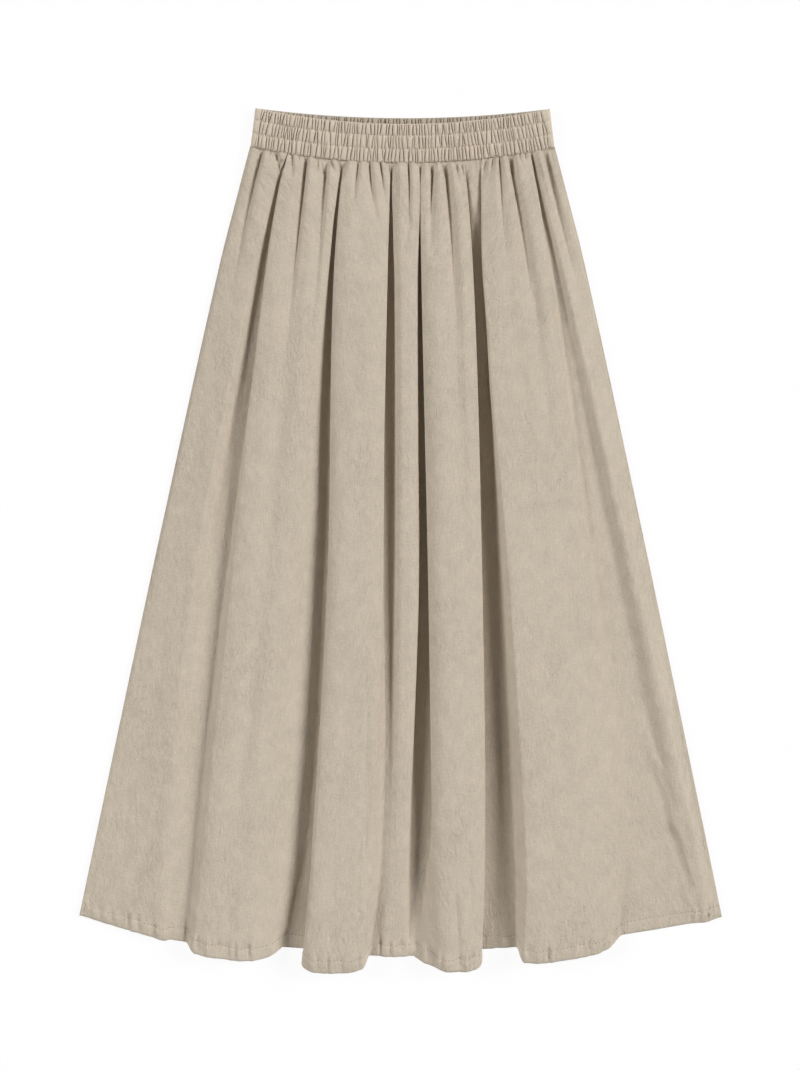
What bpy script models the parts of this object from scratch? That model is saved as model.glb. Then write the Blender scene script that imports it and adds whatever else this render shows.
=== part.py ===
"""An a-line midi skirt with an elastic waistband, laid flat on its back with the front side up.

Metres, +Z up. The cloth rests on the plane Z = 0, the waist points to +Y and the hem to -Y, and the
origin is the middle of the garment's box, at the bottom. Both panels are cut like a fan: every row of
cloth is an arc about one point above the waist, and a place on a row is given as a share of the way
from the middle line (0) to the side edge (-1 on the left, 1 on the right).
"""

import math
from typing import NamedTuple

import bmesh
import bpy

MM = 0.001

# Driving sizes of the laid-out skirt.
WAIST_WIDTH = 0.2955
HEM_WIDTH = 0.641
LENGTH = 0.8245
BAND_HEIGHT = 0.0392
CLOTH = 1.3 * MM

# The gap between pieces, and how far below the band's edge the panels start.
SEAM_GAP = 0.3 * MM
PANEL_START = 0.4 * MM

# The fan that those sizes give, and where it lies.
HALF_ANGLE = math.asin((HEM_WIDTH - WAIST_WIDTH) / 2 / LENGTH)
WAIST_RADIUS = WAIST_WIDTH / 2 / math.sin(HALF_ANGLE)
HEM_RADIUS = WAIST_RADIUS + LENGTH
SEAM_RADIUS = WAIST_RADIUS + BAND_HEIGHT
FAN_X = 4.3 * MM
FAN_Y = 1.121
FAN_TURN = math.radians(-0.14)

# The waistband: three channels of elastic, gathered into fine ribs.
CHANNELS = 3
RIBS = 56
BAND_END_SHARE = (0.996, 0.972)
BACK_BAND_RISE = 6 * MM
BAND_PLAIN = 2.0 * MM
CHANNEL_PUFF = 1.1 * MM
RIB_RELIEF = 1.5 * MM
RIB_VALLEY = 0.1
STITCH_PINCH = 0.5
RIB_UNEVEN = 0.45
RIB_DRIFT = (2.9, 0.37, 2.5)

# A path down the skirt holds four values: at the waist seam, 15% down, half way and at the hem.
STATIONS = (0.0, 0.15, 0.5, 1.0)
SIDE_SHARE = (0.982, 1.006, 1.009, 1.001)
SIDE_ROUND = 4 * MM
SIDE_HEIGHT = 1.5 * CLOTH + SEAM_GAP


class Tube(NamedTuple):
    """A raised fold. Places are shares; heights and runs are mm. A run is how far the foot of a wall
    lies outside the lip, and a negative run tucks the foot in under it."""

    name: str
    left: tuple
    right: tuple
    height: tuple
    tilt: float
    left_run: tuple
    right_run: tuple
    columns: tuple  # in the left wall, on the crest and in the right wall


class Valley(NamedTuple):
    """The floor between a tube and the next: its height and the hump along its middle, in mm."""

    floor: tuple
    hump: tuple
    columns: int


class Trough(NamedTuple):
    """A soft groove in a crest: its place, its depth in mm and its half width in mm."""

    place: tuple
    depth: tuple
    width: float


SIDE_LEFT = tuple(-share for share in SIDE_SHARE)
NO_RUN = (0.0, 0.0, 0.0, 0.0)

TUBES = (
    Tube("side left", SIDE_LEFT, (-0.868, -0.822, -0.797, -0.736), (6.4, 9, 7, 4.2), 0,
         NO_RUN, (5, 9, 17, 20), (3, 8, 3)),
    Tube("left", (-0.775, -0.750, -0.698, -0.636), (-0.425, -0.418, -0.402, -0.425), (6.6, 18, 22, 21), 3,
         (4, -3, -2, 3), (4, 4, 15, 20), (5, 18, 4)),
    Tube("left middle", (-0.362, -0.374, -0.302, -0.298), (-0.102, -0.083, -0.096, -0.102),
         (6.6, 23, 29, 25.5), 0, (4, -4, -6, -4), (4, -3, -1, 2), (6, 14, 6)),
    Tube("middle", (-0.038, -0.030, -0.015, -0.027), (0.080, 0.084, 0.071, 0.035), (6.6, 20, 21, 9.5), 0,
         (4, 4, 7, 10), (4, -3, -3, 6), (3, 8, 4)),
    Tube("right middle", (0.145, 0.108, 0.110, 0.085), (0.406, 0.389, 0.331, 0.258), (6.6, 23, 29, 24.5), 1,
         (4, -3, -5, 5), (4, -4, -6, -4), (6, 14, 6)),
    Tube("right", (0.510, 0.444, 0.398, 0.361), (0.780, 0.798, 0.818, 0.657), (6.6, 20, 25, 19.0), 3,
         (4, -3, -2, 7), (5, 9, 16, 28), (5, 14, 4)),
    Tube("side right", (0.868, 0.887, 0.954, 0.832), SIDE_SHARE, (6.4, 11, 11, 3.2), 0,
         (5, 6, 8, 20), NO_RUN, (3, 6, 3)),
)
VALLEYS = (
    Valley((4.6, 6, 4, 4.0), NO_RUN, 1),
    Valley((4.6, 5, 3, 2.9), NO_RUN, 1),
    Valley((4.6, 5, 5, 7.4), NO_RUN, 1),
    Valley((4.6, 5, 4, 8.0), NO_RUN, 1),
    Valley((4.6, 5, 3, 2.5), (1, 5, 0, 0), 4),
    Valley((4.6, 9, 9, 2.6), NO_RUN, 1),
)
TROUGHS = (
    Trough((-0.900, -0.905, -0.905, -0.905), (0.5, 2.5, 0, 0), 6),
    Trough((-0.590, -0.588, -0.560, -0.540), (1, 4, 3, 0.5), 11),
    Trough((-0.478, -0.455, -0.440, -0.440), (1, 2.5, 0, 0), 7),
    Trough((-0.178, -0.190, -0.200, -0.200), (1, 3, 0, 0), 8),
    Trough((0.168, 0.175, 0.190, 0.190), (1, 2, 0, 0), 6),
    Trough((0.270, 0.265, 0.265, 0.250), (1, 3.5, 2, 0), 9),
    Trough((0.589, 0.580, 0.570, 0.560), (1, 2.5, 0, 0), 7),
    Trough((0.690, 0.702, 0.690, 0.680), (1, 6, 3, 0), 11),
)

# Small gathers below the waist seam: a pinch at every third column of a crest, uneven in depth.
GATHER_DEPTH = 3.0 * MM
GATHER_FADE = 0.06
GATHER_COLUMNS = 3
GATHER_UNEVEN = 0.35
GATHER_DRIFT = 2.3

# The front panel's rows, and the shape of its walls, crests and hem.
FINE_ROWS = (0.0, 0.012, 0.03, 0.055, 0.085, 0.12)
COARSE_ROWS = (0.17, 0.23, 0.30, 0.38, 0.47, 0.56, 0.65, 0.74, 0.83, 0.91, 0.985, 1.0)
ROWS = FINE_ROWS + COARSE_ROWS
BEND_RADIUS = 2.4 * MM
CREST_ROUND = 0.22
CREST_POWER = 3.5
HEM_DROP_FROM = 1.6 * MM

# The back panel: its gathers, and how far its hem lies inside the front's.
BACK_COLUMNS = 40
BACK_ROWS = (0.0, 0.02, 0.06, 0.12, 0.25, 0.5, 0.75, 1.0)
BACK_GATHER = 1.3 * MM
BACK_HEM_TUCK = 3 * MM

# Looks.
SHARP_ANGLE = math.radians(20)
CLOTH_COLOUR = (0.52, 0.44, 0.35, 1.0)
BAND_COLOUR = (0.48, 0.41, 0.33, 1.0)


def clear_scene():
    for thing in list(bpy.data.objects):
        bpy.data.objects.remove(thing, do_unlink=True)


def down(path, t):
    """The value of a path at the share t of the way from the waist seam to the hem."""
    last = len(STATIONS) - 2
    i = next((k for k in range(last) if t < STATIONS[k + 1]), last)

    def slope(k):
        a, b = max(k - 1, 0), min(k + 1, len(STATIONS) - 1)
        return (path[b] - path[a]) / (STATIONS[b] - STATIONS[a])

    gap = STATIONS[i + 1] - STATIONS[i]
    s = (t - STATIONS[i]) / gap
    start = (1 + 2 * s) * (1 - s) ** 2 * path[i] + s * (1 - s) ** 2 * gap * slope(i)
    return start + s * s * (3 - 2 * s) * path[i + 1] - s * s * (1 - s) * gap * slope(i + 1)


def on_fan(radius, along):
    """The plan place of a point at this radius, this far along its arc from the middle line."""
    angle = FAN_TURN + along / radius
    return FAN_X + radius * math.sin(angle), FAN_Y - radius * math.cos(angle)


def row_radius(t):
    return SEAM_RADIUS + PANEL_START + t * (HEM_RADIUS - SEAM_RADIUS - PANEL_START)


def wall(lip, run, side, crest, floor, lean, columns):
    """A tube's wall from its shoulder down to its foot, as (place, height, gathers) points. side is 1
    on the right of the tube. It is one cubic curve, level at the foot and leaning like the crest's end
    at the shoulder, and its handles reach far enough to bend the foot at BEND_RADIUS or more."""
    out = max(run, 0.0)
    reach = max(out / 2, -run * math.sqrt(3), math.sqrt(2 / 3 * BEND_RADIUS * (crest - floor)))
    tuck = max(reach / math.sqrt(3) - out, 0.0)
    shoulder = lip - side * tuck / 2
    foot = lip + side * (out - tuck / 2)
    sag = min(lean * reach, (crest - floor) / 3)
    places = (shoulder, shoulder + side * reach, foot - side * reach, foot)
    heights = (crest, crest - sag, floor, floor)
    points = []
    for i in range(columns + 1):
        s = i / columns
        weights = ((1 - s) ** 3, 3 * s * (1 - s) ** 2, 3 * s * s * (1 - s), s ** 3)
        place = sum(w * p for w, p in zip(weights, places))
        height = sum(w * h for w, h in zip(weights, heights))
        points.append((place, height, 0.0))
    return points


def crest_line(start, end, rounding, columns):
    """The points between a tube's two shoulders, without them: a flat crest that rounds off at both
    ends. The gathers show most in its middle."""
    points = []
    for i in range(1, columns):
        s = i / columns
        place = start[0] + (end[0] - start[0]) * s
        height = start[1] + (end[1] - start[1]) * s * s * (3 - 2 * s)
        height += rounding * (1 - abs(2 * s - 1) ** CREST_POWER)
        points.append((place, height, min(4 * s, 4 * (1 - s), 1.0)))
    return points


def valley_line(start, end, hump, columns):
    """The points between two feet, without them."""
    points = []
    for i in range(1, columns):
        s = i / columns
        place = start[0] + (end[0] - start[0]) * s
        points.append((place, start[1] + hump * (1 - math.cos(2 * math.pi * s)) / 2, 0.0))
    return points


def section(t):
    """One row of the front panel's underside, from the left side to the right, as (place along the
    arc, height, share of the gathers) points."""
    half_width = row_radius(t) * HALF_ANGLE
    floors = [SIDE_HEIGHT] + [down(valley.floor, t) * MM for valley in VALLEYS] + [SIDE_HEIGHT]
    points = []
    for number, tube in enumerate(TUBES):
        first, last = number == 0, number == len(TUBES) - 1
        left = down(tube.left, t) * half_width + (SIDE_ROUND if first else 0.0)
        right = down(tube.right, t) * half_width - (SIDE_ROUND if last else 0.0)
        left_run = SIDE_ROUND if first else down(tube.left_run, t) * MM
        right_run = SIDE_ROUND if last else down(tube.right_run, t) * MM
        height = down(tube.height, t) * MM
        rounding = CREST_ROUND * (height - max(floors[number:number + 2]))
        lean = 2 * CREST_POWER * rounding / (right - left)
        shoulder = height - rounding
        rise = wall(left, left_run, -1, shoulder + tube.tilt * MM * t, floors[number], lean,
                    tube.columns[0])[::-1]
        fall = wall(right, right_run, 1, shoulder, floors[number + 1], lean, tube.columns[2])
        if points:
            valley = VALLEYS[number - 1]
            points += valley_line(points[-1], rise[0], down(valley.hump, t) * MM, valley.columns)
        points += rise
        points += crest_line(rise[-1], fall[0], rounding, tube.columns[1])
        points += fall
    return points


def spare_columns():
    """The columns that only the gathers near the waist need: every second one of a crest."""
    spare, column = [], 0
    for number, tube in enumerate(TUBES):
        if number:
            column += VALLEYS[number - 1].columns
        column += tube.columns[0]
        spare += [column + i for i in range(1, tube.columns[1], 2)]
        column += tube.columns[1] + tube.columns[2]
    return spare


def trough_depth(t, share):
    """How far the troughs lower the cloth at this share of the row."""
    half_width = row_radius(t) * HALF_ANGLE
    depth = 0.0
    for trough in TROUGHS:
        off = (share - down(trough.place, t)) * half_width / (trough.width * MM)
        depth += max(down(trough.depth, t), 0.0) * MM * math.exp(-off * off)
    return depth


def gather(column, t):
    """The wave of the small gathers, about -1 at a pinch, uneven from one to the next, fading downward."""
    pinch = -math.cos(2 * math.pi * column / GATHER_COLUMNS)
    strength = 1.0 + GATHER_UNEVEN * math.sin(GATHER_DRIFT * column)
    return pinch * strength * math.exp(-t / GATHER_FADE)


def front_point(t, column, place, height, gathers):
    """A point of the front panel's underside: the section with its troughs, gathers and hem drop."""
    radius = row_radius(t)
    share = place / (radius * HALF_ANGLE)
    height -= trough_depth(t, share) * gathers
    height += GATHER_DEPTH / 2 * gather(column, t) * gathers
    drop = max(height - HEM_DROP_FROM, 0.0) * t * t
    x, y = on_fan(radius + drop, place * (radius + drop) / radius)
    return x, y, height


def collection(name):
    group = bpy.data.collections.new(name)
    bpy.context.scene.collection.children.link(group)
    return group


def material(name, colour, roughness):
    made = bpy.data.materials.new(name)
    made.use_nodes = True
    shader = made.node_tree.nodes["Principled BSDF"]
    shader.inputs["Base Color"].default_value = colour
    shader.inputs["Roughness"].default_value = roughness
    shader.inputs["Metallic"].default_value = 0.0
    made.diffuse_color = colour
    return made


def grid(columns, rows):
    """A flat grid whose vertex (column, row) can be placed by its number."""
    mesh = bmesh.new()
    bmesh.ops.create_grid(mesh, x_segments=columns, y_segments=rows, size=1.0)
    mesh.verts.ensure_lookup_table()
    order = sorted(mesh.verts, key=lambda v: (round((1 - v.co.y) * rows), v.co.x))
    return mesh, [order[r * (columns + 1):(r + 1) * (columns + 1)] for r in range(rows + 1)]


def finish(mesh, name, look, group, thickness=0.0):
    """Makes the object, with a Solidify on an open sheet."""
    bmesh.ops.recalc_face_normals(mesh, faces=mesh.faces)
    data = bpy.data.meshes.new(name)
    mesh.to_mesh(data)
    mesh.free()
    data.materials.append(look)
    data.shade_smooth()
    data.set_sharp_from_angle(angle=SHARP_ANGLE)
    made = bpy.data.objects.new(name, data)
    group.objects.link(made)
    if thickness:
        solidify = made.modifiers.new("cloth", "SOLIDIFY")
        solidify.thickness = thickness
        solidify.offset = 0.0
    return made


def front_panel(look, group):
    """The front: seven tubes of cloth with six valleys, its small gathers and its waved hem."""
    sections = [section(t) for t in ROWS]
    mesh, rows = grid(len(sections[0]) - 1, len(ROWS) - 1)
    for t, verts, points in zip(ROWS, rows, sections):
        for column, (vert, point) in enumerate(zip(verts, points)):
            vert.co = front_point(t, column, *point)
    thin = []
    for column in spare_columns():
        run = [rows[r][column] for r in range(len(FINE_ROWS) - 1, len(ROWS))]
        thin += [mesh.edges.get(pair) for pair in zip(run, run[1:])]
    bmesh.ops.dissolve_edges(mesh, edges=thin, use_verts=True)
    return finish(mesh, "front_panel", look, group, CLOTH)


def slab(mesh, rows, thickness):
    """Closes a flat sheet into a slab and returns its upper points by (row, column)."""
    places = {v: (r, c) for r, row in enumerate(rows) for c, v in enumerate(row)}
    made = bmesh.ops.extrude_face_region(mesh, geom=mesh.faces[:])
    copies = [g for g in made["geom"] if isinstance(g, bmesh.types.BMVert)]
    by_plan = {(round(v.co.x, 6), round(v.co.y, 6)): v for v in copies}
    upper = {}
    for vert, place in places.items():
        upper[place] = by_plan[(round(vert.co.x, 6), round(vert.co.y, 6))]
    for vert in upper.values():
        vert.co.z += thickness
    return upper


def rib(column, row):
    """The height share of the ruching at a band's point: a ridge on every second column, uneven from
    one rib to the next and from one channel to the next."""
    wave = math.sin(RIB_DRIFT[0] * column) * math.cos(RIB_DRIFT[1] * column + RIB_DRIFT[2] * (row // 2))
    return 1.0 - RIB_UNEVEN * (1.0 + wave) / 2 if column % 2 else RIB_VALLEY


def waistband(name, bottom, rise, look, group):
    """One half of the waistband: a plain inner face, with ribs and channels raised in the outer one."""
    columns, strips = 2 * RIBS, 2 * CHANNELS
    mesh, rows = grid(columns, strips)
    for r, verts in enumerate(rows):
        down_band = r / strips
        end = BAND_END_SHARE[0] + (BAND_END_SHARE[1] - BAND_END_SHARE[0]) * down_band
        for c, vert in enumerate(verts):
            share = end * (2 * c / columns - 1)
            radius = WAIST_RADIUS + BAND_HEIGHT * down_band - rise * (1 - share * share)
            x, y = on_fan(radius, share * HALF_ANGLE * radius)
            vert.co = (x, y, bottom)
    upper = slab(mesh, rows, BAND_PLAIN)
    for (r, c), vert in upper.items():
        puff = 1.0 if r % 2 else 0.0
        pinch = 1.0 if r % 2 and 0 < c < columns else STITCH_PINCH
        vert.co.z += CHANNEL_PUFF * puff + RIB_RELIEF * rib(c, r) * pinch
    return finish(mesh, name, look, group)


def back_panel(look, group):
    """The back, which lies flat: plain underneath, with the gathers of its waist on the inner face."""
    mesh, rows = grid(BACK_COLUMNS, len(BACK_ROWS) - 1)
    for t, verts in zip(BACK_ROWS, rows):
        for c, vert in enumerate(verts):
            share = down(SIDE_SHARE, t) * (2 * c / BACK_COLUMNS - 1)
            rise = BACK_BAND_RISE * (1 - share * share) * (1 - t)
            radius = row_radius(t) - rise - BACK_HEM_TUCK * t
            x, y = on_fan(radius, share * HALF_ANGLE * radius)
            vert.co = (x, y, 0.0)
    upper = slab(mesh, rows, CLOTH)
    for (r, c), vert in upper.items():
        inner = 0 < c < BACK_COLUMNS
        if inner and c % 2:
            vert.co.z += BACK_GATHER * math.exp(-BACK_ROWS[r] / (2 * GATHER_FADE))
    return finish(mesh, "back_panel", look, group)


def build():
    clear_scene()
    group = collection("a_line_midi_skirt")
    cloth = material("linen cloth", CLOTH_COLOUR, 0.9)
    band = material("ruched waistband", BAND_COLOUR, 0.92)
    back_panel(cloth, group)
    waistband("waistband_back", 0.0, BACK_BAND_RISE, band, group)
    band_top = BAND_PLAIN + CHANNEL_PUFF + RIB_RELIEF
    waistband("waistband_front", band_top + SEAM_GAP, 0.0, band, group)
    front_panel(cloth, group)


build()
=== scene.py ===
"""The looks of an a-line midi skirt, laid flat on its back with its front up: matte linen in long soft
folds, a ruched waistband of three elastic channels, gathers below it and a narrow turned hem.

Metres, +Z up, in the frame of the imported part. Both panels are cut like a fan: every row of cloth is an
arc about one point above the waist, and a place on a row is given as a share of the way from the middle
line (0) to the side edge (-1 on the left, 1 on the right).
"""

import math
from typing import NamedTuple

import bpy
import numpy as np
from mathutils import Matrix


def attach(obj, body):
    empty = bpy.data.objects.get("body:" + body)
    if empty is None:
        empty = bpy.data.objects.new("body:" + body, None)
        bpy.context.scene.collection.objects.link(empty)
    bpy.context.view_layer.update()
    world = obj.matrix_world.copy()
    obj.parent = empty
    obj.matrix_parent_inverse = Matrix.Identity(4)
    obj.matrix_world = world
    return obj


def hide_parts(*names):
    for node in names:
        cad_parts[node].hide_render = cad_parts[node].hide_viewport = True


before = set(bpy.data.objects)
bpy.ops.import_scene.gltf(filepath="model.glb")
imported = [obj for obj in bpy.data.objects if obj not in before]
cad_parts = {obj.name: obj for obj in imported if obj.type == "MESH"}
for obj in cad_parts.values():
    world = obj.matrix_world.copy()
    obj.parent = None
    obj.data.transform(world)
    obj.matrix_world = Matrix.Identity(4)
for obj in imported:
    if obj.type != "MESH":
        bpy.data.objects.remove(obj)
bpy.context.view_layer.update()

MM = 0.001
CLOTH_MAP = "cloth"

# Driving sizes of the laid-out skirt, the same as its solids have.
WAIST_WIDTH = 0.2955
HEM_WIDTH = 0.641
LENGTH = 0.8245
BAND_HEIGHT = 0.0392
PANEL_START = 0.4 * MM
PANEL_LENGTH = LENGTH - BAND_HEIGHT - PANEL_START

# The fan that those sizes give, and where it lies.
HALF_ANGLE = math.asin((HEM_WIDTH - WAIST_WIDTH) / 2 / LENGTH)
WAIST_RADIUS = WAIST_WIDTH / 2 / math.sin(HALF_ANGLE)
HEM_RADIUS = WAIST_RADIUS + LENGTH
SEAM_RADIUS = WAIST_RADIUS + BAND_HEIGHT
FAN_X = 4.3 * MM
FAN_Y = 1.121
FAN_TURN = math.radians(-0.14)

# Half the cloth's thickness, in one layer and in the turned hem. The hem's edge is rounded, short of
# this share of its thickness, so that it doesn't close to a line.
HALF_CLOTH = 0.5 * MM
HALF_HEM = 1.0 * MM
EDGE_SHARE = 0.02

# The turned hem: its width, the groove of its stitches on the front and on the back, and how far the
# step where the turned cloth ends is spread. Its puckers are highest between the stitches and the edge.
HEM_TURN = 12 * MM
HEM_GROOVE = 0.55 * MM
BACK_GROOVE = 0.35 * MM
GROOVE_REACH = 1.5 * MM
HEM_STEP = 1.6 * MM
HEM_PUCKER = 2.3 * MM
PUCKER_MIDDLE = 0.8 * HEM_TURN
PUCKER_REACH = 7 * MM
PUCKER_SPACING = 3.4 * MM
PUCKER_SEED = 5

# Thread stitches. The profile has the thickness at places along one, as shares of its length and of
# the thread's radius.
STITCH_SPACING = 3.6 * MM
STITCH_LENGTH = 2.5 * MM
THREAD_RADIUS = 0.3 * MM
THREAD_CORNERS = 5
STITCH_PROFILE = ((0.0, 0.15), (0.3, 1.0), (0.7, 1.0), (1.0, 0.15))

# A side seam is a cord of oval rings that lies SEAM_INSET mm in from the edge: their places down the
# band, their number down the panels and where these start, and the middle height, half height and half
# width of the rings of both, in mm.
SEAM_STEPS = (0.012, 0.2, 0.4, 0.6, 0.8, 0.97)
SEAM_RINGS = 70
SEAM_START = 0.004
SEAM_INSET = 0.1
SEAM_CORNERS = 10
BAND_SEAM = (2.9, 2.6, 1.3)
PANEL_SEAM = (1.65, 1.3, 0.9)

# A path down the skirt holds six values, at these shares of the way from the waist seam to the hem.
STATIONS = (0.0, 0.04, 0.15, 0.5, 0.86, 1.0)

# The side edges: their path, how far in they round off and at what height, and the width beside them
# that has no waves.
SIDE_SHARE = (0.976, 0.986, 1.006, 1.009, 1.0035, 1.001)
SIDE_ROUND = 4 * MM
SIDE_HEIGHT = 2.25 * MM
SIDE_CALM = 6 * MM


class Tube(NamedTuple):
    """A raised fold. Places are shares; heights and runs are mm. A run is how far the foot of a wall
    lies outside the lip, and a negative run tucks the foot in under it."""

    left: tuple
    right: tuple
    left_height: tuple
    right_height: tuple
    left_run: tuple
    right_run: tuple
    columns: tuple  # in the left wall, on the crest and in the right wall


class Valley(NamedTuple):
    """The floor between a tube and the next: its height and the hump along its middle, in mm. In a
    sharp valley the walls that run far out stay steep down to their feet."""

    floor: tuple
    hump: tuple
    sharp: bool
    columns: int


class Trough(NamedTuple):
    """A soft groove down a whole crest: its place, its depth in mm and its half width in mm."""

    place: tuple
    depth: tuple
    width: float


class Crease(NamedTuple):
    """A short trough: its share of the row at its start, middle and end, how far below the seam it starts
    and ends, its depth and its half width, all in mm. A negative depth is a ridge."""

    path: tuple
    start: float
    end: float
    depth: float
    width: float


class Strip(NamedTuple):
    """A strip of the waistband: its top and low edge as shares of the band's height, which set of ribs
    it has, and the height of its puff."""

    top: float
    low: float
    ribs: int
    puff: float


class Grain(NamedTuple):
    """A noise over the flat cloth: the size of its bumps across and down in mm, its detail and
    roughness, and the span of its values that goes to this span of results."""

    across: float
    down: float
    detail: float
    roughness: float
    span: tuple
    result: tuple


SIDE_LEFT = tuple(-share for share in SIDE_SHARE)
NO_RUN = (0.0,) * len(STATIONS)

# The front's raised folds from left to right, the valleys between them and the grooves down crests.
TUBES = (
    # side left
    Tube(SIDE_LEFT, (-0.745, -0.792, -0.822, -0.845, -0.785, -0.735),
         (5.0, 6.0, 6.0, 5.0, 3.5, 2.5), (6.4, 10, 12, 13.5, 12.5, 11.6),
         NO_RUN, (1.5, 6, 11, 17, 18, 10), (4, 34, 14)),
    # left
    Tube((-0.725, -0.750, -0.750, -0.688, -0.645, -0.630),
         (-0.389, -0.400, -0.418, -0.437, -0.466, -0.440),
         (6.4, 11.5, 18, 21, 22, 22), (6.4, 11.5, 18, 21, 22, 21.5),
         (1.5, -2, -3, 7, 13, 13), (1.5, -1, 4, 28, 47, 24), (12, 66, 14)),
    # left middle
    Tube((-0.366, -0.378, -0.374, -0.302, -0.292, -0.300),
         (-0.079, -0.080, -0.083, -0.084, -0.092, -0.118),
         (6.4, 12, 23, 29, 28.5, 27), (6.4, 12, 23, 28, 26, 25),
         (1.5, -1, -4, -6, -6, -5), (1.5, -1, -3, 3, 11, 8), (12, 52, 12)),
    # middle
    Tube((-0.056, -0.061, -0.030, -0.015, -0.025, -0.060),
         (0.101, 0.106, 0.084, 0.066, 0.016, 0.010),
         (6.4, 12, 20, 21, 16, 9), (6.4, 12, 20, 21, 17, 9.5),
         (1.5, -1, 4, 7, 7, 4), (1.5, -1, -3, 2, 6, 6), (8, 30, 8)),
    # right middle
    Tube((0.121, 0.112, 0.108, 0.110, 0.107, 0.115),
         (0.385, 0.395, 0.389, 0.331, 0.277, 0.247),
         (6.4, 12, 23, 29, 27.5, 24.5), (6.4, 12, 23, 29, 27, 24.5),
         (1.5, -1, -3, -7, 3, 24), (1.5, -1, -4, -6, -6, -5), (12, 52, 12)),
    # right
    Tube((0.505, 0.482, 0.444, 0.440, 0.413, 0.380), (0.806, 0.812, 0.800, 0.750, 0.700, 0.633),
         (6.4, 12, 20, 27, 28, 22.5), (6.4, 12, 18, 16, 17, 18),
         (1.5, -1, -2, 11, 12, 8), (1.5, 1, 6, 14, 26, 22), (12, 56, 12)),
    # side right
    Tube((0.835, 0.850, 0.890, 0.935, 0.962, 0.962), SIDE_SHARE,
         (6.4, 10, 14, 13.5, 11, 4.5), (5.0, 6.0, 6.0, 5.0, 3.5, 2.5),
         (1.5, 5, 8, 16, 27, 24), NO_RUN, (12, 28, 6)),
)
VALLEYS = (
    Valley((3.8, 3.4, 3.4, 5.8, 9.2, 9.8), NO_RUN, False, 4),
    Valley((3.8, 3.2, 4, 3, 2.9, 4.6), NO_RUN, True, 2),
    Valley((3.8, 3.2, 4, 8.5, 14, 8.2), NO_RUN, False, 2),
    Valley((3.8, 3.2, 4, 4, 4, 7.8), NO_RUN, True, 2),
    Valley((3.8, 3.0, 3.4, 3, 3, 3.6), (0, 4.5, 2.0, 0, 0, 0), False, 8),
    Valley((3.8, 3.8, 8.0, 5.5, 3.8, 2.7), NO_RUN, False, 2),
)
TROUGHS = (
    Trough((-0.606, -0.597, -0.590, -0.560, -0.548, -0.540), (0, 1, 3.5, 2.5, 1.2, 0.5), 10),
    Trough((-0.470, -0.466, -0.460, -0.440, -0.440, -0.440), (0, 0.5, 2, 0, 0, 0), 7),
    Trough((0.270, 0.278, 0.272, 0.265, 0.255, 0.250), (0, 1, 3.5, 1.5, 0.5, 0), 9),
    Trough((0.600, 0.592, 0.580, 0.570, 0.565, 0.560), (0, 0, 1.5, 0.5, 0, 0), 8),
    Trough((0.685, 0.692, 0.702, 0.690, 0.683, 0.680), (0, 1, 3.5, 1.2, 0.3, 0), 10),
)

# The waistband's rows and columns, its half width in mm, its width of cloth, and where it ends at the
# top and at the seam, as shares of the fan's half width.
BAND_GRID = (44, 980)
BAND_HALF = 148.0
BAND_CLOTH = 0.54
BAND_ENDS = (0.996, 0.974)

# Two stitched rows pinch the band into three puffed channels. Below the foot of the lowest lies the
# folded edge, which keeps its ribs.
STITCHED_ROWS = (0.31, 0.65)
BAND_FOOT = 0.965
BAND_BODY = 2.9 * MM
BAND_PUFF = 1.5 * MM
BAND_STRIPS = (
    Strip(0.0, STITCHED_ROWS[0], 0, BAND_PUFF),
    Strip(STITCHED_ROWS[0], STITCHED_ROWS[1], 1, BAND_PUFF),
    Strip(STITCHED_ROWS[1], BAND_FOOT, 2, BAND_PUFF),
    Strip(BAND_FOOT, 1.0, 2, 0.0),
)
PUFF_POWER = 0.6
PINCH_REACH = 0.028
PINCH_DEPTH = 0.7 * MM
PINCH_INSET = 0.005

# How the band's edges and ends round off, and how much of its relief shows on its under side.
BAND_EDGE = 0.5 * MM
EDGE_ROUND = 1.3 * MM
END_ROUND = 3.5 * MM
BAND_LOW_EDGE = 0.35
UNDER_RELIEF = 0.2
UNDER_DEEPEST = 3 * MM

# The ribs of the band are creases laid unevenly between two places on the row, the first of them up to
# RIB_START further on. Their steps, depth and half width are in mm, and RIB_DRIFT is how far they slant.
# They are RIB_DEEPEST at most, shallower at the stitched rows, and fade out at the ends of the band.
RIB_PLACES = (-0.955, 0.95)
RIB_START = 0.02
RIB_STEPS = (2.0, 2.6, 3.1, 3.7, 4.9)
RIB_SCATTER = (0.85, 1.15)
RIB_DRIFT = 0.010
RIB_DEPTH = (2.1, 4.0)
RIB_WIDTH = (0.48, 0.80)
RIB_POWER = 1.25
RIB_DEEPEST = 2.9 * MM
RIB_AT_ROWS = 0.55
RIB_END_FADE = 7.0

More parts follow.
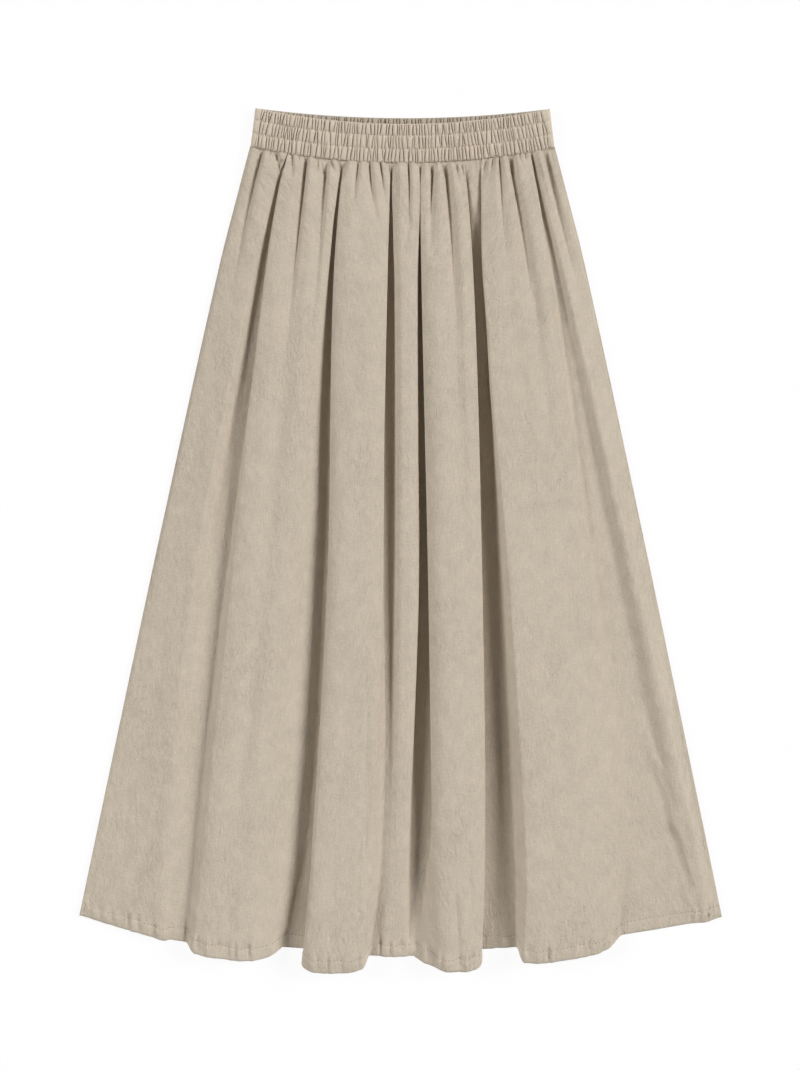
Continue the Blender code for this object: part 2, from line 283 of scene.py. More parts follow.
# The gathers of the front, from left to right. They are deepest at the seam and fade downward.
FRONT_GATHERS = (
    Crease((-0.887, -0.907, -0.908), -6, 150, 8.5, 3.8),
    Crease((-0.838, -0.841, -0.845), -6, 9, 4.8, 1.7),
    Crease((-0.803, -0.787, -0.758), -6, 20, 8.5, 2.9),
    Crease((-0.758, -0.794, -0.816), 6, 80, 5.0, 2.8),
    Crease((-0.706, -0.691, -0.683), -6, 24, 6.1, 2.6),
    Crease((-0.655, -0.654, -0.653), -6, 9, 4.3, 1.7),
    Crease((-0.606, -0.594, -0.589), -6, 210, 8.5, 3.9),
    Crease((-0.546, -0.536, -0.529), -6, 15, 7.0, 2.2),
    Crease((-0.529, -0.510, -0.488), -6, 17, 7.0, 2.2),
    Crease((-0.477, -0.465, -0.467), -6, 190, 9.5, 4.6),
    Crease((-0.458, -0.441, -0.412), -6, 16, 7.0, 2.2),
    Crease((-0.405, -0.395, -0.378), -6, 18, 8.3, 2.2),
    Crease((-0.378, -0.376, -0.379), -6, 13, 5.8, 1.7),
    Crease((-0.346, -0.363, -0.378), -6, 22, 8.5, 2.6),
    Crease((-0.277, -0.284, -0.304), -6, 46, 5.5, 2.5),
    Crease((-0.208, -0.183, -0.130), -6, 66, 6.6, 2.8),
    Crease((-0.146, -0.115, -0.088), -6, 56, 7.2, 1.7),
    Crease((-0.093, -0.085, -0.070), -6, 19, 8.3, 2.2),
    Crease((-0.040, -0.060, -0.071), -6, 21, 8.5, 2.5),
    Crease((0.035, 0.040, 0.020), -6, 95, 6.6, 2.5),
    Crease((0.085, 0.098, 0.112), -6, 14, 7.0, 2.1),
    Crease((0.132, 0.117, 0.108), -6, 20, 7.0, 2.1),
    Crease((0.160, 0.168, 0.182), -6, 14, 7.0, 2.1),
    Crease((0.196, 0.168, 0.160), -6, 105, 9.9, 3.1),
    Crease((0.243, 0.250, 0.270), -6, 16, 7.0, 2.2),
    Crease((0.264, 0.282, 0.273), -6, 200, 9.5, 4.2),
    Crease((0.315, 0.328, 0.335), -6, 12, 5.8, 1.8),
    Crease((0.340, 0.344, 0.352), -6, 27, 7.3, 2.6),
    Crease((0.366, 0.380, 0.399), -6, 28, 8.5, 2.6),
    Crease((0.417, 0.411, 0.399), -6, 26, 8.3, 2.1),
    Crease((0.442, 0.456, 0.453), -6, 36, 6.7, 3.0),
    Crease((0.490, 0.494, 0.498), -6, 15, 5.8, 1.8),
    Crease((0.540, 0.514, 0.484), -6, 25, 8.5, 2.9),
    Crease((0.586, 0.567, 0.546), -6, 15, 7.0, 2.1),
    Crease((0.617, 0.591, 0.580), -6, 115, 6.1, 2.6),
    Crease((0.673, 0.691, 0.699), -6, 205, 9.0, 3.8),
    Crease((0.704, 0.690, 0.681), -6, 21, 7.0, 2.1),
    Crease((0.741, 0.744, 0.746), -6, 9, 5.8, 1.7),
    Crease((0.777, 0.779, 0.781), -6, 9, 5.8, 1.7),
    Crease((0.819, 0.828, 0.836), -6, 70, 6.6, 2.8),
    Crease((0.901, 0.923, 0.962), -6, 180, 9.5, 4.2),
    Crease((0.942, 0.952, 0.968), -6, 34, 4.8, 2.6),
)

# Soft creases and small crinkles of the front, listed one by one. Those in the low valley at the right
# are ridges.
FRONT_CREASES = (
    Crease((-0.930, -0.940, -0.952), 180, 420, 1.1, 9),
    Crease((-0.890, -0.905, -0.925), 420, 760, 1.2, 12),
    Crease((-0.790, -0.830, -0.850), 600, 770, 1.1, 7),
    Crease((-0.530, -0.548, -0.560), 410, 690, 1.3, 10),
    Crease((-0.500, -0.522, -0.530), 570, 785, 1.0, 11),
    Crease((-0.590, -0.575, -0.580), 660, 785, 1.1, 7),
    Crease((-0.205, -0.190, -0.180), 300, 520, 0.6, 10),
    Crease((-0.130, -0.122, -0.132), 500, 640, 1.8, 2.3),
    Crease((-0.108, -0.115, -0.118), 590, 690, 1.6, 2.2),
    Crease((-0.140, -0.136, -0.142), 640, 740, 1.8, 2.7),
    Crease((-0.090, -0.096, -0.100), 420, 520, 1.4, 2),
    Crease((-0.225, -0.215, -0.222), 640, 785, 1.1, 8),
    Crease((0.188, 0.190, 0.200), 330, 470, 1.0, 8),
    Crease((0.222, 0.226, 0.230), 650, 775, 2.0, 4),
    Crease((0.172, 0.178, 0.182), 690, 785, 1.8, 3.1),
    Crease((0.565, 0.566, 0.560), 380, 640, 1.3, 12),
    Crease((0.500, 0.500, 0.490), 590, 785, 1.0, 13),
    Crease((0.680, 0.692, 0.705), 420, 610, 1.4, 9),
    Crease((0.742, 0.752, 0.755), 430, 620, 2.0, 8),
    Crease((0.850, 0.866, 0.884), 540, 612, -1.6, 2.8),
    Crease((0.872, 0.884, 0.902), 585, 655, -1.7, 3.0),
    Crease((0.838, 0.856, 0.866), 610, 690, -1.5, 2.7),
    Crease((0.900, 0.912, 0.930), 640, 712, -1.7, 3.1),
    Crease((0.872, 0.880, 0.896), 672, 742, -1.5, 2.8),
    Crease((0.925, 0.930, 0.944), 690, 752, -1.4, 2.6),
    Crease((0.846, 0.850, 0.862), 700, 765, -1.6, 2.9),
    Crease((0.900, 0.906, 0.915), 725, 780, -1.5, 3.2),
    Crease((0.820, 0.846, 0.876), 640, 680, -1.4, 2.6),
    Crease((0.858, 0.892, 0.920), 600, 640, -1.5, 2.7),
    Crease((0.880, 0.912, 0.940), 665, 700, -1.4, 2.8),
)

# Gathers and creases of the same kinds on the back, which is pressed flat where it rests.
BACK_GATHERS = (
    Crease((-0.860, -0.880, -0.900), -4, 150, 4.0, 4.0),
    Crease((-0.700, -0.690, -0.700), -4, 90, 3.6, 3.2),
    Crease((-0.560, -0.540, -0.545), -4, 210, 5.0, 5.0),
    Crease((-0.420, -0.430, -0.420), -4, 70, 3.2, 2.6),
    Crease((-0.300, -0.280, -0.285), -4, 260, 5.0, 5.5),
    Crease((-0.170, -0.175, -0.160), -4, 110, 3.8, 3.0),
    Crease((-0.050, -0.040, -0.045), -4, 60, 3.0, 2.4),
    Crease((0.070, 0.060, 0.065), -4, 240, 5.0, 5.0),
    Crease((0.190, 0.200, 0.195), -4, 80, 3.4, 2.8),
    Crease((0.320, 0.305, 0.310), -4, 190, 4.6, 4.4),
    Crease((0.450, 0.460, 0.450), -4, 65, 3.0, 2.6),
    Crease((0.580, 0.565, 0.580), -4, 230, 5.0, 5.4),
    Crease((0.710, 0.720, 0.715), -4, 95, 3.6, 3.0),
    Crease((0.850, 0.870, 0.890), -4, 160, 4.2, 4.2),
)
BACK_CREASES = (
    Crease((-0.620, -0.600, -0.580), 260, 600, 3.0, 14),
    Crease((-0.150, -0.170, -0.160), 380, 760, 3.4, 16),
    Crease((0.300, 0.320, 0.350), 300, 640, 3.0, 13),
    Crease((0.700, 0.730, 0.740), 420, 780, 3.2, 15),
)

# The shape of creases. A gather is steep towards the middle line and soft on its outer side, fully so
# from LEAN_SHARE outwards. It is narrow at the seam and spreads downward, and a long one fades sooner
# along its length than a short one.
LEAN_SHARE = 0.4
STEEP_SIDE = 0.45
SOFT_SIDE = 1.5
GATHER_GAIN = 1.2
GATHER_NARROW = 0.68
GATHER_SPREAD = 0.8
SPREAD_POWER = 0.7
SHORT_FADE = 0.6
LONG_FADE = 1.3
LONG_GATHER = 150.0
CREASE_FADE = 1.2
CREASE_POWER = 1.5

# The front panel's rows, as (distance below the seam, step) in mm, and the shapes of its walls and of
# the flat tops of its crests and humps.
ROW_STEPS = ((-1.2, 1.4), (30, 3.2), (95, 6.9), (758, 1.5))
BEND_RADIUS = 2.4 * MM
STEEP_FOOT = 0.8
STEEP_RUN = 24 * MM
STEEP_HANDLE = 0.7
STEEP_HEIGHT = 0.5
SAG_LIMIT = 1 / 3
CREST_ROUND = 0.22
TOP_POWER = 3.5
CREST_EDGE = 0.25

# The front's cloth puffs up below the seam, where gathers cross the valleys too. It lies on what is
# under it, never lower than LOWEST, and a little higher at the seam. WAVES are its faint unevenness,
# as (width, length, height) in mm and a seed. A high fold carries the hem down.
PUFF = 5.2 * MM
PUFF_RISE = 5 * MM
PUFF_FADE = 45 * MM
LOOSE_FADE = 30 * MM
LOWEST = 2.7 * MM
LOWEST_BLEND = 0.5 * MM
SEAM_LIFT = 1.5 * MM
SEAM_LIFT_FADE = 3 * MM
WAVES = ((16, 60, 0.35, 3), (7, 26, 0.15, 4))
HEM_DROP_FROM = 1.6 * MM

# The back panel's rows and columns, how far its top rises and its hem draws in behind the front's, and
# how far its creases lift it off the floor at most.
BACK_ROW_STEPS = ((0, 2.0), (40, 6.0), (758, 1.5))
BACK_COLUMNS = 280
BACK_RISE = 6 * MM
BACK_INSET = 3 * MM
BACK_LIFT = 0.6 * MM
LIFT_SOFTNESS = 3 * MM

# The waistband's front half lies this high, over its back half. The faces of the back half that look up,
# by this much of their normal, get a darker copy of the band's linen: painted shade for the front half's
# shadow.
FRONT_BAND_HEIGHT = 4.9 * MM
FACING_UP = 0.2

# Colours, and the share of the linen's relief that the other materials have.
LINEN = (0.535, 0.459, 0.372)
RUCHED = (0.60, 0.515, 0.42)
# The band's linen darkened for its inside: painted shade for the front half's shadow over it.
INSIDE_PAINTED_SHADE = (0.43, 0.365, 0.29)
# Thread: real stitching, darkened further as painted shade of the hem's stitched groove.
THREAD_WITH_PAINTED_SHADE = (0.24, 0.20, 0.155)
BAND_RELIEF = 0.7
THREAD_RELIEF = 0.3

# What makes the linen lighter and darker: slubs down and across, grain, mottling and pale specks.
TONES = (
    Grain(1.4, 11, 3, 0.5, (0.3, 0.7), (0.945, 1.05)),
    Grain(7, 1.2, 3, 0.5, (0.3, 0.7), (0.965, 1.03)),
    Grain(1.5, 1.7, 2, 0.5, (0.3, 0.7), (0.93, 1.055)),
    Grain(13, 17, 4, 0.6, (0.3, 0.7), (0.94, 1.05)),
    Grain(1.8, 1.4, 1, 0.5, (0.70, 0.80), (1.0, 1.2)),
)
# Its relief, in shares of RELIEF_HEIGHT: threads down and across, small crinkles and broad ones.
RELIEF_HEIGHT = 0.9 * MM
RELIEF = (
    Grain(0.8, 6, 2, 0.5, (0, 1), (0, 0.22)),
    Grain(6, 0.8, 2, 0.5, (0, 1), (0, 0.22)),
    Grain(5, 9, 3, 0.6, (0, 1), (0, 1.15)),
    Grain(14, 30, 2, 0.5, (0, 1), (0, 1.6)),
)
# Fine creased lines are added to the relief. They run where a noise rises to a value and falls from
# the same value, and show in patches.
CREASED_LINES = (
    Grain(6, 15, 3, 0.5, (0.45, 0.5), (0, 1)),
    Grain(6, 15, 3, 0.5, (0.55, 0.5), (0, 1)),
    Grain(60, 90, 1, 0.5, (0.42, 0.62), (0.05, 0.38)),
)

# The studio: lamps as (name, strength, lean in degrees), their tilt and softness in degrees, the floor,
# the fill light, and the camera's distance, height of view and place up the skirt.
LAMPS = (("right lamp", 2.86, 53), ("left lamp", 1.90, -53))
LAMP_TILT = -10
LAMP_SOFTNESS = 24
FLOOR_SIZE = 8
FLOOR_DROP = 0.3 * MM
FLOOR_GREY = 0.05
FLOOR_GLOW = 0.93
FILL_COLOUR = (0.96, 1, 0.93, 1)
FILL_STRENGTH = 0.15
CAMERA_HEIGHT = 6.0
CAMERA_PLACE = 0.005
VIEW_HEIGHT = 1.07
SENSOR_HEIGHT = 24
CAMERA_REACH = 50


def down(path, t):
    """The value of a path at the share t of the way from the waist seam to the hem."""
    last = len(STATIONS) - 2
    i = next((k for k in range(last) if t < STATIONS[k + 1]), last)

    def slope(k):
        a, b = max(k - 1, 0), min(k + 1, len(STATIONS) - 1)
        return (path[b] - path[a]) / (STATIONS[b] - STATIONS[a])

    gap = STATIONS[i + 1] - STATIONS[i]
    s = (t - STATIONS[i]) / gap
    start = (1 + 2 * s) * (1 - s) ** 2 * path[i] + s * (1 - s) ** 2 * gap * slope(i)
    return start + s * s * (3 - 2 * s) * path[i + 1] - s * s * (1 - s) * gap * slope(i + 1)


def on_fan(radius, along):
    """The plan place of points at these radii, this far along their arcs from the middle line."""
    angle = FAN_TURN + along / radius
    return FAN_X + radius * np.sin(angle), FAN_Y - radius * np.cos(angle)


def row_radius(t):
    """The fan's radius of the row of cloth at the share t of the way from the waist seam to the hem."""
    return SEAM_RADIUS + PANEL_START + t * (HEM_RADIUS - SEAM_RADIUS - PANEL_START)


def wall(lip, run, side, crest, floor, lean, sharp, columns):
    """A tube's wall from its shoulder down to its foot, as (place, height, crest share) points. side
    is 1 on the right of the tube. It is one cubic curve, leaning like the crest's end at the shoulder
    and level at the foot, or steep there in a sharp valley."""
    out = max(run, 0.0)
    # A level cubic with handles of this reach bends by BEND_RADIUS at its ends. It swings past each end
    # by reach / (2 * sqrt 3), so the shoulder and the foot move back by half of that tuck.
    reach = max(out / 2, -run * math.sqrt(3), math.sqrt(2 / 3 * BEND_RADIUS * (crest - floor)))
    tuck = max(reach / math.sqrt(3) - out, 0.0)
    shoulder = lip - side * tuck / 2
    foot = lip + side * (out - tuck / 2)
    sag = min(lean * reach, (crest - floor) * SAG_LIMIT)
    steep = STEEP_FOOT * min(out / STEEP_RUN, 1.0) if sharp else 0.0
    handle = reach * (1 - STEEP_HANDLE * steep)
    places = (shoulder, shoulder + side * reach, foot - side * handle, foot)
    heights = (crest, crest - sag, floor + STEEP_HEIGHT * steep * (crest - floor), floor)
    points = []
    for i in range(columns + 1):
        s = i / columns
        weights = ((1 - s) ** 3, 3 * s * (1 - s) ** 2, 3 * s * s * (1 - s), s ** 3)
        place = sum(w * p for w, p in zip(weights, places))
        height = sum(w * h for w, h in zip(weights, heights))
        points.append((place, height, 0.0))
    return points


def flat_top(s):
    """A rise that is 0 at both ends of a stretch and nearly 1 over most of it, at its share s."""
    return 1 - abs(2 * s - 1) ** TOP_POWER


def crest_line(start, end, rounding, columns):
    """The points between a tube's two shoulders, without them: a flat crest that rounds off at both
    ends."""
    points = []
    for i in range(1, columns):
        s = i / columns
        place = start[0] + (end[0] - start[0]) * s
        height = start[1] + (end[1] - start[1]) * s + rounding * flat_top(s)
        points.append((place, height, min(s / CREST_EDGE, (1 - s) / CREST_EDGE, 1.0)))
    return points


def valley_line(start, end, hump, columns):
    """The points between two feet, without them."""
    points = []
    for i in range(1, columns):
        s = i / columns
        place = start[0] + (end[0] - start[0]) * s
        points.append((place, start[1] + hump * flat_top(s), 0.0))
    return points


def section(t):
    """One row of the front panel's middle surface, from the left side to the right, as (place along
    the arc, height, crest share) points."""
    half_width = row_radius(t) * HALF_ANGLE
    floors = [SIDE_HEIGHT] + [down(valley.floor, t) * MM for valley in VALLEYS] + [SIDE_HEIGHT]
    sharp = [False] + [valley.sharp for valley in VALLEYS] + [False]
    points = []
    for number, tube in enumerate(TUBES):
        first, last = number == 0, number == len(TUBES) - 1
        left = down(tube.left, t) * half_width + (SIDE_ROUND if first else 0.0)
        right = down(tube.right, t) * half_width - (SIDE_ROUND if last else 0.0)
        left_run = SIDE_ROUND if first else down(tube.left_run, t) * MM
        right_run = SIDE_ROUND if last else down(tube.right_run, t) * MM
        left_top = down(tube.left_height, t) * MM
        right_top = down(tube.right_height, t) * MM
        rounding = CREST_ROUND * (min(left_top, right_top) - max(floors[number:number + 2]))
        rounding = max(rounding, 0.0)
        lean = 2 * TOP_POWER * rounding / (right - left)
        rise = wall(left, left_run, -1, left_top - rounding, floors[number], lean, sharp[number],
                    tube.columns[0])[::-1]
        fall = wall(right, right_run, 1, right_top - rounding, floors[number + 1], lean, sharp[number + 1],
                    tube.columns[2])
        if points:
            valley = VALLEYS[number - 1]
            points += valley_line(points[-1], rise[0], down(valley.hump, t) * MM, valley.columns)
        points += rise
        points += crest_line(rise[-1], fall[0], rounding, tube.columns[1])
        points += fall
    return points


def row_depths(steps, length):
    """Distances below the seam in metres, from (distance, step) pairs in mm."""
    ends = [start for start, _ in steps[1:]] + [length / MM]
    rows = []
    for (start, step), end in zip(steps, ends):
        count = max(1, round((end - start) / step))
        rows += [start + (end - start) * i / count for i in range(count)]
    return np.array(rows + [length / MM]) * MM


def soft_noise(u, v, size_u, size_v, seed):
    """Smooth uneven waves from -1 to 1 over the cloth, with bumps of these sizes."""
    rng = np.random.default_rng(seed)
    a, b = u / size_u, v / size_v
    a0, b0 = np.floor(a.min()), np.floor(b.min())
    a, b = a - a0, b - b0
    table = rng.uniform(-1, 1, (int(a.max()) + 3, int(b.max()) + 3))
    i, j = a.astype(int), b.astype(int)
    fa, fb = a - i, b - j
    fa, fb = fa * fa * (3 - 2 * fa), fb * fb * (3 - 2 * fb)
    low = table[i, j] * (1 - fa) + table[i + 1, j] * fa
    high = table[i, j + 1] * (1 - fa) + table[i + 1, j + 1] * fa
    return low * (1 - fb) + high * fb


def side_width(lean):
    """How wide one side of a gather is, against one that doesn't lean. lean is 1 on the soft side."""
    return 1 + max(lean, 0) * (SOFT_SIDE - 1) + min(lean, 0) * (1 - STEEP_SIDE)


def crease_depth(creases, share, below, half_width, from_seam):
    """How far these creases lower the cloth, at each share of the row and distance below the seam."""
    depth = np.zeros_like(share)
    for crease in creases:
        s = (below / MM - crease.start) / (crease.end - crease.start)
        inside = (s > 0) & (s < 1)
        s = np.clip(s, 0, 1)
        a, b, c = crease.path
        path = a * (1 - s) * (1 - 2 * s) + 4 * b * s * (1 - s) + c * s * (2 * s - 1)
        off = (share - path) * half_width / (crease.width * MM)
        if from_seam:
            lean = float(np.clip(b / LEAN_SHARE, -1, 1))
            spread = GATHER_NARROW + GATHER_SPREAD * s ** SPREAD_POWER
            off = off / (spread * np.where(off > 0, side_width(lean), side_width(-lean)))
            longness = min(crease.end / LONG_GATHER, 1.0)
            fade = GATHER_GAIN * (1 - s) ** (SHORT_FADE + (LONG_FADE - SHORT_FADE) * longness)
        else:
            fade = np.sin(math.pi * s) ** CREASE_FADE
        depth += inside * crease.depth * MM * fade * np.exp(-(np.abs(off) ** CREASE_POWER))
    return depth


def unit_normals(points):
    """The upward normals of a grid of points, rows running down and columns to the right."""
    normals = np.cross(np.gradient(points, axis=0), np.gradient(points, axis=1))
    return normals / np.linalg.norm(normals, axis=2, keepdims=True)


def cloth_lengths(points):
    """How far each point lies from the middle column along its row of cloth, in metres."""
    steps = np.linalg.norm(np.diff(points, axis=1), axis=2)
    run = np.concatenate([np.zeros((len(points), 1)), np.cumsum(steps, axis=1)], axis=1)
    return run - run[:, points.shape[1] // 2][:, None]


def cloth_piece(name, points, faces, uvs, material):
    """A smooth mesh object with this material, whose uv map is each point's place on the flat cloth."""
    mesh = bpy.data.meshes.new(name)
    mesh.from_pydata(points.tolist(), [], faces)
    layer = mesh.uv_layers.new(name=CLOTH_MAP)
    index = np.empty(len(mesh.loops), dtype=np.int32)
    mesh.loops.foreach_get("vertex_index", index)
    layer.uv.foreach_set("vector", uvs[index].astype(np.float32).ravel())
    mesh.materials.append(material)
    mesh.shade_smooth()
    piece = bpy.data.objects.new(name, mesh)
    bpy.context.scene.collection.objects.link(piece)
    return piece


def wall_mesh(name, upper, lower, material, uv, under_step=1):
    """A closed sheet of cloth between two grids of points. The under side keeps one row and column in
    under_step, which divides the numbers of both, so that its edges stay where they are."""
    lower, low_uv = lower[::under_step, ::under_step], uv[::under_step, ::under_step]
    top_grid = np.arange(upper.shape[0] * upper.shape[1]).reshape(upper.shape[:2])
    low_grid = np.arange(lower.shape[0] * lower.shape[1]).reshape(lower.shape[:2]) + top_grid.size

    def quads(grid):
        corners = grid[:-1, :-1], grid[1:, :-1], grid[1:, 1:], grid[:-1, 1:]
        return np.stack(corners, axis=-1).reshape(-1, 4)

    def ring(grid):
        return np.concatenate([grid[0, :-1], grid[:-1, -1], grid[-1, :0:-1], grid[:0:-1, 0]])

    faces = quads(top_grid).tolist() + quads(low_grid)[:, ::-1].tolist()
    high, low = ring(top_grid), ring(low_grid)
    for i in range(len(low)):
        fine = [high[(i * under_step + k) % len(high)] for k in range(under_step + 1)]
        faces.append([int(v) for v in fine + [low[(i + 1) % len(low)], low[i]]])
    points = np.concatenate([upper.reshape(-1, 3), lower.reshape(-1, 3)])
    uvs = np.concatenate([uv.reshape(-1, 2), low_uv.reshape(-1, 2)])
    return cloth_piece(name, points, faces, uvs, material)


def front_surface():
    """The front panel's middle surface: (points, distance below the seam, place on the flat cloth)."""
    below = row_depths(ROW_STEPS, PANEL_LENGTH)
    t = np.maximum(below / PANEL_LENGTH, 0.0)
    sections = np.array([section(value) for value in t])
    place, height, crest = sections[..., 0], sections[..., 1], sections[..., 2]
    radius = (SEAM_RADIUS + PANEL_START + below)[:, None]
    half_width = radius * HALF_ANGLE
    share = place / half_width
    below = np.repeat(below[:, None], share.shape[1], axis=1)
    for trough in TROUGHS:
        path = np.array([down(trough.place, value) for value in t])[:, None]
        depth = np.array([max(down(trough.depth, value), 0.0) for value in t])[:, None]
        off = (share - path) * half_width / (trough.width * MM)
        height = height - depth * MM * np.exp(-off * off) * crest
    along = cloth_lengths(np.stack([place, height], axis=-1))

    past_seam = np.maximum(below, 0)
    loose = np.maximum(crest, np.exp(-past_seam / LOOSE_FADE))
    puff = (1 - np.exp((below[0] - below) / PUFF_RISE)) * np.exp(-below / PUFF_FADE)
    height = height + PUFF * puff * loose
    height = height - crease_depth(FRONT_GATHERS, share, below, half_width, from_seam=True) * loose
    height = height - crease_depth(FRONT_CREASES, share, below, half_width, from_seam=False)

    to_pucker = (PANEL_LENGTH - below - PUCKER_MIDDLE) / PUCKER_REACH
    puckers = soft_noise(place, np.zeros_like(below), PUCKER_SPACING, 1.0, PUCKER_SEED)
    wave = puckers * HEM_PUCKER * np.exp(-to_pucker * to_pucker)
    for width, length, size, seed in WAVES:
        wave += soft_noise(place, below, width * MM, length * MM, seed) * size * MM
    height = height + wave * np.clip((1 - np.abs(share)) * half_width / SIDE_CALM, 0, 1)

    lowest = LOWEST + SEAM_LIFT * np.exp(-past_seam / SEAM_LIFT_FADE)
    height = lowest + LOWEST_BLEND * np.logaddexp(0, (height - lowest) / LOWEST_BLEND)
    drop = np.maximum(height - HEM_DROP_FROM, 0.0) * (t * t)[:, None]
    x, y = on_fan(radius + drop, place * (radius + drop) / radius)
    return np.stack([x, y, height], axis=-1), below, np.stack([along, -below], axis=-1)


def rings_mesh(name, rings, material):
    """Closed lengths of cord or thread. rings is an array of (length, ring, corner, 3) points."""
    lengths, count, corners, _ = rings.shape
    index = np.arange(rings[..., 0].size).reshape(lengths, count, corners)
    following = np.roll(index, -1, axis=2)
    sides = np.stack([index[:, :-1], index[:, 1:], following[:, 1:], following[:, :-1]], axis=-1)
    faces = sides.reshape(-1, 4).tolist() + index[:, 0].tolist() + index[:, -1, ::-1].tolist()
    points = rings.reshape(-1, 3)
    return cloth_piece(name, points, faces, points[:, :2], material)


def stitches(name, line, normals, material):
    """A row of thread stitches along a line of points on the cloth. Both ends of each go down into it."""
    run = np.concatenate([[0], np.cumsum(np.linalg.norm(np.diff(line, axis=0), axis=1))])
    starts = np.arange(STITCH_SPACING, run[-1] - STITCH_SPACING, STITCH_SPACING)
    profile = np.array(STITCH_PROFILE)
    places = starts[:, None] + profile[None, :, 0] * STITCH_LENGTH
    centre = np.stack([np.interp(places, run, line[:, k]) for k in range(3)], axis=-1)
    up = np.stack([np.interp(places, run, normals[:, k]) for k in range(3)], axis=-1)
    ahead = centre[:, -1:] - centre[:, :1]
    across = np.cross(up, ahead / np.linalg.norm(ahead, axis=-1, keepdims=True))
    turns = np.arange(THREAD_CORNERS) * 2 * math.pi / THREAD_CORNERS
    thick = profile[None, :, 1, None, None]
    size = thick * THREAD_RADIUS
    sunk = (thick - 1.0) * THREAD_RADIUS
    rings = centre[:, :, None, :] + up[:, :, None, :] * sunk
    rings = rings + across[:, :, None, :] * size * np.cos(turns)[None, None, :, None]
    rings = rings + up[:, :, None, :] * size * np.sin(turns)[None, None, :, None]
    return rings_mesh(name, rings, material)


def side_seam(name, side, material):
    """The seam that joins the front and the back down one side, from the band's top to the hem. side
    is -1 on the left."""
    at_band = [(WAIST_RADIUS + BAND_HEIGHT * s, band_end(s)) + BAND_SEAM for s in SEAM_STEPS]
    at_panels = [(row_radius(t), down(SIDE_SHARE, t)) + PANEL_SEAM
                 for t in np.linspace(SEAM_START, 1, SEAM_RINGS)]
    turns = np.arange(SEAM_CORNERS) * 2 * math.pi / SEAM_CORNERS
    rings = []
    for radius, share, middle, half_height, half_width in at_band + at_panels:
        inset = radius * HALF_ANGLE * share - (half_width + SEAM_INSET) * MM
        x, y = on_fan(radius, side * (inset + half_width * MM * np.cos(turns)))
        rings.append(np.stack([x, y, (middle + half_height * np.sin(turns)) * MM], axis=-1))
    return rings_mesh(name, np.array([rings])[:, ::-side], material)


def front_panel(material, thread_with_painted_shade):
    """The front with its turned hem, and the hem's stitches, as (panel, stitches)."""
    points, below, uv = front_surface()
    normals = unit_normals(points)
    to_hem = PANEL_LENGTH - below
    in_hem = 0.5 - 0.5 * np.tanh((to_hem - HEM_TURN) / HEM_STEP)
    half = HALF_CLOTH + (HALF_HEM - HALF_CLOTH) * in_hem
    half = half * np.sqrt(1 - (1 - np.clip(to_hem / half, EDGE_SHARE, 1)) ** 2)
    groove = np.exp(-(((to_hem - HEM_TURN) / GROOVE_REACH) ** 2)) * HEM_GROOVE
    upper = points + normals * (half - groove)[..., None]
    lower = points - normals * half[..., None]
    stitched_row = int(np.argmin(np.abs(to_hem[:, 0] - HEM_TURN)))
    line, line_normals = upper[stitched_row, ::2], normals[stitched_row, ::2]
    row = stitches("hem_stitches", line, line_normals, thread_with_painted_shade)
    return wall_mesh("front_panel_cloth", upper, lower, material, uv, under_step=2), row


def back_panel(material):
    """The back, flat under the front, with shallow creases that lift it a little off the floor."""
    below = row_depths(BACK_ROW_STEPS, PANEL_LENGTH)
    t = below / PANEL_LENGTH
    side = np.array([down(SIDE_SHARE, value) for value in t])[:, None]
    share = side * np.linspace(-1, 1, BACK_COLUMNS + 1)[None, :]
    t = t[:, None]
    radius = row_radius(t) - BACK_RISE * (1 - share * share) * (1 - t) - BACK_INSET * t
    half_width = radius * HALF_ANGLE
    below = np.repeat(below[:, None], BACK_COLUMNS + 1, axis=1)
    x, y = on_fan(radius, share * half_width)
    creased = crease_depth(BACK_GATHERS, share, below, half_width, from_seam=True)
    creased += crease_depth(BACK_CREASES, share, below, half_width, from_seam=False)
    to_stitches = (PANEL_LENGTH - below - HEM_TURN) / HEM_STEP
    low = BACK_LIFT * (1 - np.exp(-creased / LIFT_SOFTNESS))
    low += BACK_GROOVE * np.exp(-to_stitches * to_stitches)
    lower = np.stack([x, y, low], axis=-1)
    upper = np.stack([x, y, low + 2 * HALF_CLOTH], axis=-1)
    uv = np.stack([cloth_lengths(lower), -below], axis=-1)
    return wall_mesh("back_panel_cloth", upper, lower, material, uv)


def band_end(s):
    """Where the waistband ends at the share s of its height, as a share of the fan's half width."""
    return BAND_ENDS[0] + (BAND_ENDS[1] - BAND_ENDS[0]) * s


def rib_creases(seed):
    """The fine creases that the elastic draws into one channel of the band, unevenly spaced, as (place,
    drift, depth, width)."""
    rng = np.random.default_rng(seed)
    creases = []
    place = RIB_PLACES[0] + rng.uniform(0, RIB_START)
    while place < RIB_PLACES[1]:
        drift = rng.uniform(-RIB_DRIFT, RIB_DRIFT)
        creases.append((place, drift, rng.uniform(*RIB_DEPTH), rng.uniform(*RIB_WIDTH)))
        place += rng.choice(RIB_STEPS) * rng.uniform(*RIB_SCATTER) / BAND_HALF
    return creases


